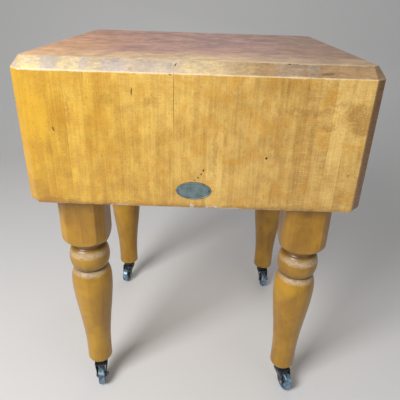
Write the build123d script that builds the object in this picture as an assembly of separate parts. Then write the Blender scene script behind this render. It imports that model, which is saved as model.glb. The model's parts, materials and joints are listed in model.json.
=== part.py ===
"""Butcher block table: an end-grain maple block on four turned legs with swivel casters.

The origin is on the floor under the middle of the block. +Z is up and the front, with the oval
plate, faces -Y.
Sizes are in millimetres and angles in degrees.
"""

import os
from math import atan2, degrees, hypot, pi, radians, sin, sqrt

from build123d import *

# ---------------------------------------------------------------- the block
block_width = 762.0
block_depth = 704.0
block_height = 324.0
stave_width = 38.1
row_thickness = 37.0
stave_wander = 0.14  # how far a glue joint strays from an even spacing, as a share of a stave's width
narrowest_end_stave = 26.0
bevel_inset = 18.0  # how far the bevel round the top runs in over the top
bevel_drop = 24.5  # how far it runs down the sides
corner_chamfer = 24.0
bottom_round = 12.0

# ---------------------------------------------------------------- the legs
leg_side_inset = 101.0  # from the block's left or right side to a leg's axis
leg_front_inset = 95.0  # from its front or back to a leg's axis
leg_side = 112.0
leg_chamfer = 19.0
leg_length = 566.0
leg_boards = 2  # boards glued side by side in each leg
square_length = 142.0  # the square part, from the block down to the neck
shoulder_radius = 22.0  # turned round the lower end of the square part
neck_radius = 39.0
neck_length = 18.0
bead_core_radius = 38.0
bead_bulge = 15.0
bead_half_height = 34.0
bead_wrap = 76.0  # how far the bead's curve runs above and below its middle
groove_radius = 40.0
groove_drop = 2.0
vase_radius = 54.5
vase_shoulder = 44.0
waist_radius = 44.0
waist_height = 170.0  # above the leg's foot
ankle_radius = 35.8
ankle_height = 72.0
foot_radius = 35.4
foot_round_height = 8.0
foot_rest_radius = 29.0

# ---------------------------------------------------------------- leg fixings
bolt_radius = 6.35
bolt_in_leg = 100.0
bolt_shortfall = 6.0  # how far the bolt stops short of the insert's upper end
bolt_point_length = 12.0
bolt_point_radius = 1.6
insert_radius = 11.0
insert_length = 50.0
fit_clearance = 0.05
cutter_overrun = 1.0

# ---------------------------------------------------------------- the oval plate
plate_width = 79.0
plate_height = 42.0
plate_thickness = 1.2
plate_rim_width = 2.6
plate_rim_height = 0.5
plate_centre_height = 47.0  # above the block's underside
plate_side_offset = -2.0
nail_radius = 0.9
nail_length = 14.0
nail_head_radius = 1.9
nail_head_height = 0.8
nail_head_round = 0.5
nail_rim_gap = 0.3  # between a nail's head and the plate's rim

# ---------------------------------------------------------------- the casters
socket_radius = 8.0
socket_length = 42.0
socket_flange_radius = 15.0
socket_flange_thickness = 1.5
kingpin_radius = 5.5
kingpin_shortfall = 4.0  # how far the kingpin stops short of the socket's upper end
kingpin_chamfer = 1.4
kingpin_collar_radius = 12.0
kingpin_collar_height = 9.3
kingpin_head_radius = 9.0
kingpin_head_height = 3.0
kingpin_head_round = 2.4
bearing_gap = 0.3  # between the kingpin's head and the fork
cup_thickness = 2.0
cup_skirt = 4.6
cup_round = 1.6
ball_radius = 2.4
ball_count = 8
ball_circle_radius = 14.5
race_gap = 0.4  # left round the balls and the race, so that they turn freely
race_lip = 4.0
race_lip_thickness = 1.6
fork_metal = 2.8
fork_inner_bend = 1.7
crown_radius = 23.0  # the fork's round top, seen from above
crown_forward = 4.0  # how far its middle lies in front of the kingpin
crown_width = 42.0  # across the fork's sides, just under its top
crown_skirt = 5.0
fork_headroom = 6.0  # between the wheel and the fork's top plate
boss_radius = 9.0
wheel_radius = 28.6
wheel_width = 18.0
wheel_gap = 2.0  # between the wheel's hub and each cheek of the fork
wheel_edge_round = 2.6
wheel_hub_radius = 9.5
wheel_rim_depth = 7.5
wheel_web_recess = 3.5
caster_trail = 28.0
axle_radius = 3.2
axle_clearance = 0.08
axle_head_radius = 6.0
axle_head_height = 3.4
axle_head_round = 2.4
nut_width = 11.0  # across its flats
nut_height = 5.5
axle_tip = 2.0  # how far the axle's end stands out of its nut

# How each caster stands, as the turn of its wheel from pointing straight to the front.
caster_turns = {"front_left": 12.0, "front_right": 25.0, "back_left": -12.0, "back_right": 7.0}

# ---------------------------------------------------------------- derived sizes
fork_plate_height = 2 * wheel_radius + fork_headroom  # underside of the fork's top plate
fork_inner_width = wheel_width + 2 * wheel_gap
fork_width = fork_inner_width + 2 * fork_metal
race_floor = fork_plate_height + fork_metal
race_radius = ball_circle_radius + ball_radius + race_gap + race_lip_thickness
cup_radius = race_radius + race_gap + cup_thickness
cup_floor = race_floor + 2 * ball_radius + race_gap  # underside of the fixed cup's top
cup_top = cup_floor + cup_thickness
socket_flange_bottom = cup_top + kingpin_collar_height
caster_height = socket_flange_bottom + socket_flange_thickness

block_bottom = caster_height + leg_length
block_top = block_bottom + block_height
stave_count = max(3, round(block_width / stave_width))
stave_pitch = block_width / stave_count
row_count = max(3, round(block_depth / row_thickness))
row_pitch = block_depth / row_count
golden_angle = pi * (3 - sqrt(5))

leg_x = block_width / 2 - leg_side_inset
leg_y = block_depth / 2 - leg_front_inset
leg_places = {
    "front_left": (-leg_x, -leg_y),
    "front_right": (leg_x, -leg_y),
    "back_left": (-leg_x, leg_y),
    "back_right": (leg_x, leg_y),
}
leg_corner_radius = hypot(leg_side / 2, leg_side / 2 - leg_chamfer)


def ring(outer_radius, inner_radius, low, high):
    """An upright ring, or a disc where the inner radius is 0, between two heights."""
    section = Pos((outer_radius + inner_radius) / 2, (low + high) / 2) * Rectangle(
        outer_radius - inner_radius, high - low
    )
    return revolve(Plane.XZ * section, Axis.Z)


def save(name, pieces):
    """Writes one node, holding each piece as a solid of its own."""
    solids = [solid for piece in pieces for solid in piece.solids()]
    export_step(Compound(children=solids), os.path.join("parts", name + ".step"))


# ---------------------------------------------------------------- block
def block_envelope():
    """The block's outer form: chamfered corners, a bevel round the top and a rounded lower edge."""
    outline = chamfer(Rectangle(block_width, block_depth).vertices(), corner_chamfer)
    sides = extrude(Pos(0, 0, block_bottom) * outline, block_height - bevel_drop)
    sides = fillet(sides.edges().group_by(Axis.Z)[0], bottom_round)
    bevel_slope = degrees(atan2(bevel_inset, bevel_drop))
    crown = extrude(Pos(0, 0, block_top - bevel_drop) * outline, bevel_drop, taper=bevel_slope)
    return sides + crown


def glue_joints(row):
    """Places across the block where one row's staves meet, each second row shifted by half a stave."""
    half_step = 0.5 * (row % 2)
    places = [-block_width / 2]
    for number in range(1, stave_count + row % 2):
        wander = stave_wander * sin(golden_angle * (number + row * stave_count))
        places.append(-block_width / 2 + (number - half_step + wander) * stave_pitch)
    places.append(block_width / 2)
    places[1] = max(places[1], places[0] + narrowest_end_stave)
    places[-2] = min(places[-2], places[-1] - narrowest_end_stave)
    return places


def block_bores():
    """What is bored out of the block: a seat for each leg's threaded insert and a hole for each nail."""
    seat_radius = insert_radius + fit_clearance
    seat = ring(seat_radius, 0, block_bottom - cutter_overrun, block_bottom + insert_length)
    seats = [Pos(x, y) * seat for x, y in leg_places.values()]
    return seats + [nail_shank(x, nail_radius + fit_clearance) for x in nail_places()]


def overlap_in_plan(first, second):
    """Whether the bounding boxes of two pieces share any ground, seen from above."""
    a, b = first.bounding_box(), second.bounding_box()
    apart_x = a.max.X <= b.min.X or b.max.X <= a.min.X
    apart_y = a.max.Y <= b.min.Y or b.max.Y <= a.min.Y
    return not (apart_x or apart_y)


def block_rows():
    """Every row of the block, as a list of its staves."""
    envelope = block_envelope()
    bores = block_bores()
    rows = []
    for row in range(row_count):
        middle_y = -block_depth / 2 + (row + 0.5) * row_pitch
        joints = glue_joints(row)
        staves = []
        for left, right in zip(joints, joints[1:]):
            stave = Pos((left + right) / 2, middle_y, block_bottom + block_height / 2) * Box(
                right - left, row_pitch, block_height
            )
            at_edge = row in (0, row_count - 1) or left == joints[0] or right == joints[-1]
            if at_edge:
                stave = stave & envelope
            for bore in bores:
                if overlap_in_plan(stave, bore):
                    stave = stave - bore
            staves.append(stave)
        rows.append(staves)
    return rows


# ---------------------------------------------------------------- oval plate
def nail_places():
    reach = plate_width / 2 - plate_rim_width - nail_rim_gap - nail_head_radius
    return plate_side_offset - reach, plate_side_offset + reach


def facing_front(x, y):
    """The plane on the block's front, or y in front of it, at the plate's height."""
    middle = (x, -block_depth / 2 - y, block_bottom + plate_centre_height)
    return Plane(middle, x_dir=(1, 0, 0), z_dir=(0, -1, 0))


def nail_shank(x, radius):
    return extrude(facing_front(x, plate_thickness) * Circle(radius), -nail_length)


def oval_plate():
    """A thin oval plate with a low raised rim, bored for its two nails."""
    plane = facing_front(plate_side_offset, 0)
    outline = Ellipse(plate_width / 2, plate_height / 2)
    field = Ellipse(plate_width / 2 - plate_rim_width, plate_height / 2 - plate_rim_width)
    plate = extrude(plane * outline, plate_thickness)
    plate += extrude(plane * (outline - field), plate_thickness + plate_rim_height)
    for x in nail_places():
        plate -= nail_shank(x, nail_radius + fit_clearance)
    return plate


def plate_nails():
    nails = []
    for x in nail_places():
        head = extrude(facing_front(x, plate_thickness) * Circle(nail_head_radius), nail_head_height)
        top_edge = head.edges().group_by(Axis.Y)[0]
        nails.append(fillet(top_edge, nail_head_round) + nail_shank(x, nail_radius))
    return nails


# ---------------------------------------------------------------- legs
def leg_half_section():
    """Half section of a leg as it leaves the lathe, from the block down to the foot."""
    foot = caster_height
    neck_top = block_bottom - square_length
    bead_middle = neck_top - neck_length - bead_half_height * sin(radians(bead_wrap))
    shoulder_edge = leg_corner_radius - shoulder_radius
    with BuildSketch(Plane.XZ) as section:
        with BuildLine():
            blank = Polyline(
                (0, foot),
                (0, block_bottom),
                (leg_side, block_bottom),
                (leg_side, neck_top + shoulder_radius),
                (leg_corner_radius, neck_top + shoulder_radius),
            )
            shoulder = CenterArc((shoulder_edge, neck_top + shoulder_radius), shoulder_radius, 0, -90)
            bead = EllipticalCenterArc(
                (bead_core_radius, bead_middle),
                bead_bulge,
                bead_half_height,
                start_angle=bead_wrap,
                arc_size=-2 * bead_wrap,
            )
            ThreePointArc(shoulder @ 1, (neck_radius, neck_top - neck_length / 2), bead @ 0)
            groove_bottom = (bead @ 1).Z - groove_drop
            Line(bead @ 1, (groove_radius, groove_bottom))
            upper_vase = EllipticalCenterArc(
                (groove_radius, groove_bottom - vase_shoulder),
                vase_radius - groove_radius,
                vase_shoulder,
                start_angle=90,
                arc_size=-90,
            )
            lower_vase = Spline(
                upper_vase @ 1,
                (waist_radius, foot + waist_height),
                (ankle_radius, foot + ankle_height),
                (foot_radius, foot + foot_round_height),
                tangents=[(0, -1), (0, -1)],
            )
            toe = EllipticalCenterArc(
                (foot_rest_radius, foot + foot_round_height),
                foot_radius - foot_rest_radius,
                foot_round_height,
                start_angle=0,
                arc_size=-90,
            )
            Line(toe @ 1, blank @ 0)
        make_face()
    return section.sketch


def hanger_bolt(room=0.0):
    """A bolt with a pointed lower end, from the leg up into the insert, or with room, its hole."""
    low = block_bottom - bolt_in_leg
    radius = bolt_radius + room
    shank = ring(radius, 0, low + bolt_point_length, block_bottom + insert_length - bolt_shortfall)
    point = Cone(bolt_point_radius + room, radius, bolt_point_length)
    return shank + Pos(0, 0, low + bolt_point_length / 2) * point


def leg():
    """One leg at the origin, as the boards that it is glued up from."""
    section = chamfer(Rectangle(leg_side, leg_side).vertices(), leg_chamfer)
    blank = extrude(Pos(0, 0, caster_height) * section, leg_length)
    whole = blank & revolve(leg_half_section(), Axis.Z)
    whole -= hanger_bolt(fit_clearance)
    whole -= ring(socket_radius + fit_clearance, 0, caster_height, caster_height + socket_length)
    board_width = leg_side / leg_boards
    boards = []
    for number in range(leg_boards):
        middle = -leg_side / 2 + (number + 0.5) * board_width
        slab = Pos(middle, 0, caster_height + leg_length / 2) * Box(board_width, leg_side, leg_length)
        boards.append(whole & slab)
    return boards


def threaded_insert():
    return ring(insert_radius, bolt_radius + fit_clearance, block_bottom, block_bottom + insert_length)


# ---------------------------------------------------------------- casters
# Each caster piece is made about the kingpin at the origin, with the wheel trailing to the front.
def caster_socket():
    """The steel sleeve in the leg's foot, with a flange under the foot."""
    bore = kingpin_radius + fit_clearance
    sleeve = ring(socket_radius, bore, caster_height, caster_height + socket_length)
    flange = ring(socket_flange_radius, bore, socket_flange_bottom, caster_height)
    return sleeve + flange


def kingpin():
    """The stem in the leg, its collar under the flange, and the riveted head that holds the fork."""
    head_top = fork_plate_height - bearing_gap
    stem = ring(kingpin_radius, 0, head_top, caster_height + socket_length - kingpin_shortfall)
    stem = chamfer(stem.edges().group_by(Axis.Z)[-1], kingpin_chamfer)
    collar = ring(kingpin_collar_radius, 0, cup_top, socket_flange_bottom)
    head = ring(kingpin_head_radius, 0, head_top - kingpin_head_height, head_top)
    head = fillet(head.edges().group_by(Axis.Z)[0], kingpin_head_round)
    return stem + collar + head


def top_cup():
    """The pressed cup over the balls: a disc with a rounded shoulder and a short skirt."""
    body = ring(cup_radius, 0, cup_top - cup_thickness - cup_skirt, cup_top)
    body = fillet(body.edges().group_by(Axis.Z)[-1], cup_round)
    body -= ring(cup_radius - cup_thickness, 0, cup_top - cup_thickness - cup_skirt, cup_floor)
    return body - ring(kingpin_radius + fit_clearance, 0, cup_floor, cup_top)


def bearing_balls():
    around = PolarLocations(ball_circle_radius, ball_count)
    return [place * Pos(0, 0, race_floor + ball_radius) * Sphere(ball_radius) for place in around]


def yoke_section(inset):
    """The fork seen from the front: an arch with splayed sides, drawn in by inset from its outer faces."""
    top = race_floor - inset
    knee = wheel_radius + boss_radius
    crown_half = crown_width / 2 - inset
    cheek_half = fork_width / 2 - inset
    right = [(cheek_half, 0), (cheek_half, knee), (crown_half, top)]
    left = [(-x, height) for x, height in reversed(right)]
    arch = make_face(Polyline(*right, *left, close=True).edges())
    return fillet(arch.vertices().group_by(Axis.Y)[-1], fork_inner_bend + fork_metal - inset)


def fork():
    """A stamped fork: a round crown that carries the balls' race, and cheeks that sweep to the axle."""
    back = crown_radius - crown_forward
    front = crown_radius + crown_forward
    behind = Plane((0, back, 0), x_dir=(1, 0, 0), z_dir=(0, -1, 0))
    section = yoke_section(0) - yoke_section(fork_metal)
    arch = extrude(behind * section, back + caster_trail + boss_radius)

    boss = Pos(-caster_trail, wheel_radius) * Circle(boss_radius)
    crown_side = Pos((back - front) / 2, race_floor - crown_skirt / 2) * Rectangle(back + front, crown_skirt)
    side = Plane.YZ * make_hull(crown_side.edges() + boss.edges())

    nose = Pos(0, -caster_trail) * Rectangle(fork_width, 2 * boss_radius)
    plan = make_hull((Pos(0, -crown_forward) * Circle(crown_radius)).edges() + nose.edges())
    bent = arch & extrude(side, crown_width, both=True) & extrude(plan, race_floor)

    race = ring(race_radius, 0, fork_plate_height, race_floor + race_lip)
    race -= ring(race_radius - race_lip_thickness, 0, race_floor, race_floor + race_lip)
    whole = bent + race - ring(kingpin_radius + fit_clearance, 0, fork_plate_height, race_floor)
    return whole - axle_rod(axle_radius + fit_clearance, -fork_width, fork_width)


def axle_rod(radius, left, right):
    """A round rod along the axle's line, between two places across the caster."""
    start = Plane((left, -caster_trail, wheel_radius), x_dir=(0, 1, 0), z_dir=(1, 0, 0))
    return extrude(start * Circle(radius), right - left)


def axle():
    """The axle bolt, with a low domed head against the left cheek."""
    side = fork_width / 2
    rod = axle_rod(axle_radius, -side, side + nut_height + axle_tip)
    head = axle_rod(axle_head_radius, -side - axle_head_height, -side)
    head = fillet(head.edges().group_by(Axis.X)[0], axle_head_round)
    return rod + head


def axle_nut():
    side = fork_width / 2
    start = Plane((side, -caster_trail, wheel_radius), x_dir=(0, 1, 0), z_dir=(1, 0, 0))
    nut = extrude(start * RegularPolygon(nut_width / 2, 6, major_radius=False), nut_height)
    return nut - axle_rod(axle_radius + fit_clearance, 0, side + nut_height)


def wheel():
    """A cast wheel: a rim with rounded edges, a thinner web and a hub as wide as the rim."""
    half = wheel_width / 2
    rim_inside = wheel_radius - wheel_rim_depth
    blank = axle_rod(wheel_radius, -half, half)
    blank = fillet(blank.edges().filter_by(GeomType.CIRCLE), wheel_edge_round)
    for left, right in ((-half, -half + wheel_web_recess), (half - wheel_web_recess, half)):
        blank -= axle_rod(rim_inside, left, right) - axle_rod(wheel_hub_radius, left, right)
    return blank - axle_rod(axle_radius + axle_clearance, -half, half)


# ---------------------------------------------------------------- assembly
def standing_at(place, pieces, turn=0.0):
    """The pieces of a leg or caster, turned about its upright axis and moved to its place."""
    return [Pos(*place) * Rot(Z=turn) * piece for piece in pieces]


os.makedirs("parts", exist_ok=True)

for number, staves in enumerate(block_rows(), start=1):
    save(f"block_row_{number:02d}", staves)
save("oval_plate", [oval_plate()])
save("plate_nails", plate_nails())

boards = leg()
hidden_fixings = {
    "leg_hanger_bolts": hanger_bolt(),
    "leg_inserts": threaded_insert(),
    "caster_sockets": caster_socket(),
}
for corner, place in leg_places.items():
    save(f"leg_{corner}", standing_at(place, boards))
for name, piece in hidden_fixings.items():
    save(name, [moved for place in leg_places.values() for moved in standing_at(place, [piece])])

caster_pieces = {
    "kingpin": [kingpin()],
    "top_cup": [top_cup()],
    "balls": bearing_balls(),
    "fork": [fork()],
    "axle": [axle()],
    "axle_nut": [axle_nut()],
    "wheel": [wheel()],
}
for corner, place in leg_places.items():
    for name, pieces in caster_pieces.items():
        save(f"caster_{corner}_{name}", standing_at(place, pieces, caster_turns[corner]))
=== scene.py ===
import json
import math
from functools import partial, reduce
from types import SimpleNamespace

import bpy
import numpy as np
from mathutils import Matrix, Vector


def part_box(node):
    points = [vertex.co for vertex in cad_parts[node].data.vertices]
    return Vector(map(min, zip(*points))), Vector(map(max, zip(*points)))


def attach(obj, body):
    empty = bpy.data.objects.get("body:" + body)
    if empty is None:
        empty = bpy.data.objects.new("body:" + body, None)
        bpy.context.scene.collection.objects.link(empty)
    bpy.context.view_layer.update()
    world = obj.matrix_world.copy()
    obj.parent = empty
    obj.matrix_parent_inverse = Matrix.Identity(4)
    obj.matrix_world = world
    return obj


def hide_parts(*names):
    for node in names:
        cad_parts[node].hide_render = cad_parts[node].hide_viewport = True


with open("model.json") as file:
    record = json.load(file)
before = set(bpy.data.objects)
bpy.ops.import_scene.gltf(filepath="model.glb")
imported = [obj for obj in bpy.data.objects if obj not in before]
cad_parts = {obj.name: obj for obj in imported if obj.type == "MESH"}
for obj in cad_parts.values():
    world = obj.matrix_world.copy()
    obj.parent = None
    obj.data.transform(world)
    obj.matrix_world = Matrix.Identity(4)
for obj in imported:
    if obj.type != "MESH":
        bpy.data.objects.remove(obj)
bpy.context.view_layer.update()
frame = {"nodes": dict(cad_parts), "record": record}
print("frame loaded:", len(frame["nodes"]), "nodes")


# Shader helpers. A value is a plain number or colour, or
# another node's output, whose tree the new node joins.

def makeNode(kind, inputs=None, output=0, tree=None, **settings):
    # adds one shader node, fills or links its inputs, and gives back one of its outputs
    inputs = inputs or {}
    tree = tree or next(value.id_data for value in inputs.values() if isinstance(value, bpy.types.NodeSocket))
    node = tree.nodes.new("ShaderNode" + kind)
    for key, value in settings.items():
        setattr(node, key, value)
    for key, value in inputs.items():
        if isinstance(value, bpy.types.NodeSocket):
            tree.links.new(value, node.inputs[key])
        else:
            node.inputs[key].default_value = value
    return node.outputs[output]


def maths(operation, *values, clamp=False):
    # the result of one Math node
    return makeNode("Math", dict(enumerate(values)), operation=operation, use_clamp=clamp)


operations = ("ADD", "SUBTRACT", "MULTIPLY", "DIVIDE", "MAXIMUM", "MULTIPLY_ADD")
plus, minus, times, over, larger, timesPlus = (partial(maths, operation) for operation in operations)


def vectors(operation, *values):
    # the result of one Vector Math node
    output = "Value" if operation == "LENGTH" else "Vector"
    return makeNode("VectorMath", dict(enumerate(values)), output, operation=operation)


def brightened(surface, factor):
    # a colour times a factor
    return makeNode("VectorMath", {0: surface, 3: factor}, operation="SCALE")


def split(vector):
    # the X, Y and Z of a vector
    return makeNode("SeparateXYZ", {0: vector}).node.outputs


def spread(value, low, high, fromLow, fromHigh):
    # carries a value from one range to another, with smooth ends
    inputs = {"Value": value, "From Min": fromLow, "From Max": fromHigh, "To Min": low, "To Max": high}
    return makeNode("MapRange", inputs, interpolation_type="SMOOTHSTEP")


def layered(base, layers):
    # adds noises to a value, each of which swings it up and down by its own reach
    for value, reach in layers:
        base = plus(base, spread(value, -reach, reach, 0.3, 0.7))
    return base


def blend(factor, first, second):
    # mixes two colours by a factor, which the node keeps between 0 and 1
    first, second = ((*value, 1) if isinstance(value, tuple) else value for value in (first, second))
    inputs = {0: factor, 6: first, 7: second}
    return makeNode("Mix", inputs, 2, data_type="RGBA")


def noise(place, scale, detail=2, roughness=0.5, distortion=0, shift=None, output=0):
    # cloudy noise around 0.5, with one scale or one for each axis, and moved by shift
    if shift:
        place = vectors("ADD", place, shift)
    if isinstance(scale, tuple):
        place, scale = vectors("MULTIPLY", place, scale), 1
    inputs = {"Vector": place, "Scale": scale, "Detail": detail, "Roughness": roughness,
              "Distortion": distortion}
    return makeNode("TexNoise", inputs, output)


def bumpOf(height, strength, distance):
    # normals tilted by the slopes of a height
    return makeNode("Bump", {"Strength": strength, "Distance": distance, "Height": height})


def newMaterial(name, finish):
    # a material, its shader, the place of each point, and the noises of its finish
    material = bpy.data.materials.new(name)
    material.use_nodes = True
    shader = material.node_tree.nodes["Principled BSDF"]
    for key, value in finish["sockets"].items():
        shader.inputs[key].default_value = value
    place = makeNode("TexCoord", output="Object", tree=material.node_tree)
    noises = {key: noise(place, *recipe) for key, recipe in finish["noises"].items()}
    return material, shader, place, SimpleNamespace(**noises)


def feed(shader, values):
    # links values to the shader's sockets by their names
    for key, value in values.items():
        shader.id_data.links.new(value, shader.inputs[key])


def attributes(place, *names):
    # the values that a piece carries at each of its points
    return [makeNode("Attribute", output="Fac", tree=place.id_data, attribute_name=name)
            for name in names]


# Effects that several materials share, each a shader group.

def makeGroup(name, inputs, effect):
    # a group with named inputs, of which None stands for a
    # vector, and the outputs that the effect works out from them
    group = bpy.data.node_groups.new(name, "ShaderNodeTree")
    for label, value in inputs.items():
        kind = "NodeSocketVector" if value is None else "NodeSocketFloat"
        socket = group.interface.new_socket(name=label, in_out="INPUT", socket_type=kind)
        if value is not None:
            socket.default_value = value
    results = effect(group.nodes.new("NodeGroupInput").outputs)
    for label in results:
        group.interface.new_socket(name=label, in_out="OUTPUT", socket_type="NodeSocketFloat")
    end = group.nodes.new("NodeGroupOutput")
    for label, value in results.items():
        group.links.new(value, end.inputs[label])
    return group


def useGroup(group, *values):
    # the outputs of a group that works on values, given in the order of its inputs
    return makeNode("Group", dict(enumerate(values)), node_tree=group).node.outputs


def grainEffect(given):
    # growth rings are noise along the distance from a pith that stands upright beside the stave,
    # fibres and pores are noise drawn out along Z, and mottle is soft cloudy colour
    turn = times(given["Seed"], 47)
    reach = timesPlus(given["Seed"], 0.3, 0.16)
    x, y = (times(maths(operation, turn), reach) for operation in ("COSINE", "SINE"))
    pith = makeNode("CombineXYZ", {0: x, 1: y, 2: times(given["Seed"], 9)})
    moved = vectors("ADD", given["Place"], pith)
    wobble = noise(moved, (9, 9, 1.6))
    fromPith = vectors("LENGTH", vectors("MULTIPLY", moved, (1, 1, 0)))
    along = over(timesPlus(wobble, 0.03, fromPith), given["Ring spacing"])
    inputs = {"W": along, "Scale": 0.5, "Detail": 3, "Roughness": 0.62}
    rings = makeNode("TexNoise", inputs, noise_dimensions="1D")
    pores = noise(moved, (900, 900, 55), 1)
    return {"Rings": rings, "Fibres": noise(moved, (520, 520, 11), 3, 0.6),
            "Pores": spread(pores, 0, 1, 0.64, 0.74), "Mottle": noise(moved, 14, 4, 0.6)}


def stainEffect(given):
    # a soft-edged patchy mask: cloudy noise cut off at a level
    cloud = noise(given["Place"], given["Scale"], 6, 0.62)
    low = minus(given["Level"], given["Softness"])
    high = plus(given["Level"], given["Softness"])
    return {"Mask": spread(cloud, 0, 1, low, high)}


def spotEffect(given):
    # an oval spot: 1 inside the ellipsoid round its centre, falling to 0 just outside it
    away = vectors("DIVIDE", vectors("SUBTRACT", given["Place"], given["Centre"]), given["Size"])
    return {"Mask": spread(vectors("LENGTH", away), 1, 0, 0.5, 1.1)}


def wornEffect(given):
    # a worn arris: the piece's own wear value broken up by coarse and fine noise
    coarse = noise(given["Place"], times(given["Grit"], 0.16), 3, 0.6)
    fine = noise(given["Place"], given["Grit"], 4, 0.7)
    rough = plus(times(coarse, 0.6), times(fine, 0.4))
    return {"Mask": spread(timesPlus(given["Wear"], given["Spread"], rough), 0, 1, 0.68, 0.84)}


woodGrain = makeGroup("woodGrain", {"Place": None, "Seed": 0, "Ring spacing": 0.003}, grainEffect)
patchyStain = makeGroup("patchyStain", {"Place": None, "Scale": 10, "Level": 0.5, "Softness": 0.1},
                        stainEffect)
ovalSpot = makeGroup("ovalSpot", {"Place": None, "Centre": None, "Size": None}, spotEffect)
wornEdge = makeGroup("wornEdge", {"Place": None, "Wear": 0, "Grit": 260, "Spread": 0.5}, wornEffect)


def stain(place, scale, level, softness):
    # a patchy mask, which covers less the higher its level
    return useGroup(patchyStain, place, scale, level, softness)["Mask"]


def rubbedOff(place, wear, grit, reach):
    # a worn mask, broken up by grit, which the wear value adds to by its reach
    return useGroup(wornEdge, place, wear, grit, reach)["Mask"]


# Mesh helpers.

def addObject(name, data):
    # a new object in the scene
    thing = bpy.data.objects.new(name, data)
    bpy.context.scene.collection.objects.link(thing)
    return thing


mm = 1e-3  # in metres
samePlane = 1e-5  # points no further apart than this lie in one plane


def loopQuads(levels, around):
    # quads between each loop of points and the next one up, facing outwards
    level = np.arange(levels - 1)[:, None] * around
    here = np.arange(around)[None, :]
    after = (here + 1) % around
    above = level + around
    return np.stack([level + here, level + after, above + after, above + here], -1).reshape(-1, 4)


def closedLoops(levels, around):
    # the quads of a stack of loops, and one face over each end
    loop = np.arange(around)[None, :]
    return [loopQuads(levels, around), loop[:, ::-1], loop + (levels - 1) * around]


def addPiece(name, places, faces, values, replaced, material, sharpAngle=35):
    # a mesh from whole arrays of places, faces and point values, tied to the table
    mesh = bpy.data.meshes.new(name)
    points = np.stack(np.broadcast_arrays(*places), -1)
    shape, points = points.shape[:-1], points.reshape(-1, 3)
    corners = np.concatenate([part.ravel() for part in faces])
    sizes = np.concatenate([np.full(len(part), part.shape[1]) for part in faces])
    mesh.vertices.add(len(points))
    mesh.vertices.foreach_set("co", points.astype(np.float32).ravel())
    mesh.loops.add(len(corners))
    mesh.loops.foreach_set("vertex_index", corners.astype(np.int32))
    mesh.polygons.add(len(sizes))
    mesh.polygons.foreach_set("loop_start", (np.cumsum(sizes) - sizes).astype(np.int32))
    mesh.polygons.foreach_set("use_smooth", np.ones(len(sizes), bool))
    mesh.update(calc_edges=True)
    mesh.validate()
    mesh.set_sharp_from_angle(angle=math.radians(sharpAngle))
    for label, numbers in values.items():
        column = mesh.attributes.new(label, "FLOAT", "POINT").data
        column.foreach_set("value", np.broadcast_to(numbers, shape).astype(np.float32).ravel())
    piece = addObject(name, mesh)
    mesh.materials.append(material)
    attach(piece, "table")
    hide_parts(replaced)


def nodePoints(name):
    # every point of a CAD node as an array
    mesh = frame["nodes"][name].data
    points = np.empty(len(mesh.vertices) * 3, np.float32)
    mesh.vertices.foreach_get("co", points)
    return points.reshape(-1, 3).astype(float)


block = dict(
    rows=19,
    arris=0.00022,  # how far the staves' edges are rounded back at the glue joints
    arrisRound=0.8,  # and how far their ends are drawn in, as a share of it
    edgeSoftness=0.00064,  # how softly the bevel turns into the side
    topRound=(0.0016, 0.0012),  # how far down and how far in the bevel's upper edge is rounded
    step=0.0001,  # how unevenly neighbouring staves stand
    bevelStep=0.008,  # and how unevenly they are planed on the bevel, as a share of it
    dish=0.0009,  # how far the top is worn down in the middle
    dishReach=0.03,  # how far down a stave its points follow the dish
    crackJoint=9,  # the front glue joint that has opened
    crackWidth=0.0006,
    crackSpan=(0.178, 0.306),  # above the block's underside
    crackTaper=0.6,  # the power by which it closes downwards
    crackLoops=(0.01, 0.015, 12),  # loops start and end this far below its foot and its top; how many
    seed=7,
    # relative widths of the front row's staves, from the left
    frontWidths=(30, 42, 38, 38, 36, 41, 35, 36, 39, 36, 35, 35, 55, 53, 42, 39, 33, 30, 35, 35),
    # how light each of them is at its top and at its foot, in hundredths, with a painted light falloff,
    # darker towards the right, worked in
    frontTonesAndLight=((58, 58, 55, 63, 59, 60, 66, 67, 76, 63, 60, 56, 46, 44, 31, 22, 46, 79, 53, 47),
                (41, 34, 46, 64, 37, 46, 56, 49, 32, 43, 45, 69, 46, 49, 35, 30, 39, 63, 46, 26)),
    otherTones=(0.48, 0.12, 0.1, 0.9),  # the other rows: mean, spread, least and most
    toneFade=(0.1875, 0.8125),  # the part of the height over which the one tone fades into the other
    capInsets=(0.0008, 0.0035),  # how far in from the stave's edge the loops on its top lie
    # loops by the bevel's lower and upper edge, in millimetres above the one and below the other
    bevelLoops=(-6, -3, -1.6, -0.8, 0, 0.8, 1.6, 3, 6),
    topLoops=(6, 3, 1.6, 0.9, 0.45, 0.15, 0),
    lowWear=0.003,  # how far up the rounded lower edge is most worn
    wearReach=0.002,  # how far the wear, with its painted highlight, spreads from an arris
    grooveReach=0.0006,  # how far onto the top a glue joint's dirt spreads
)


def rowName(number):
    # rows count from 1 at the front
    return f"block_row_{number:02d}"


def readBlock():
    # the block's sizes, measured on its front and back rows
    front, back = nodePoints(rowName(1)), nodePoints(rowName(block["rows"]))
    low, high = front.min(0), front.max(0)
    onFace = front[front[:, 1] < low[1] + samePlane]
    onTop = front[front[:, 2] > high[2] - samePlane]
    return SimpleNamespace(
        left=low[0], right=high[0], front=low[1], back=back[:, 1].max(), bottom=low[2], top=high[2],
        bevelInset=onTop[:, 1].min() - low[1], bevelDrop=high[2] - onFace[:, 2].max(),
        bottomRound=onFace[:, 2].min() - low[2], cornerCut=onFace[:, 0].min() - low[0])


def rowJoints(number, sizes):
    # where the staves of a row meet: the points along one
    # upper edge of it, with the block's own sides at its ends
    points = nodePoints(rowName(number))
    edge = points[:, 1].min() if number == block["rows"] else points[:, 1].max()
    onEdge = (points[:, 2] > sizes.top - samePlane) & (np.abs(points[:, 1] - edge) < samePlane)
    places = np.unique(np.round(points[onEdge, 0], 5))
    return np.concatenate([[sizes.left], places[1:-1], [sizes.right]])


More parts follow.
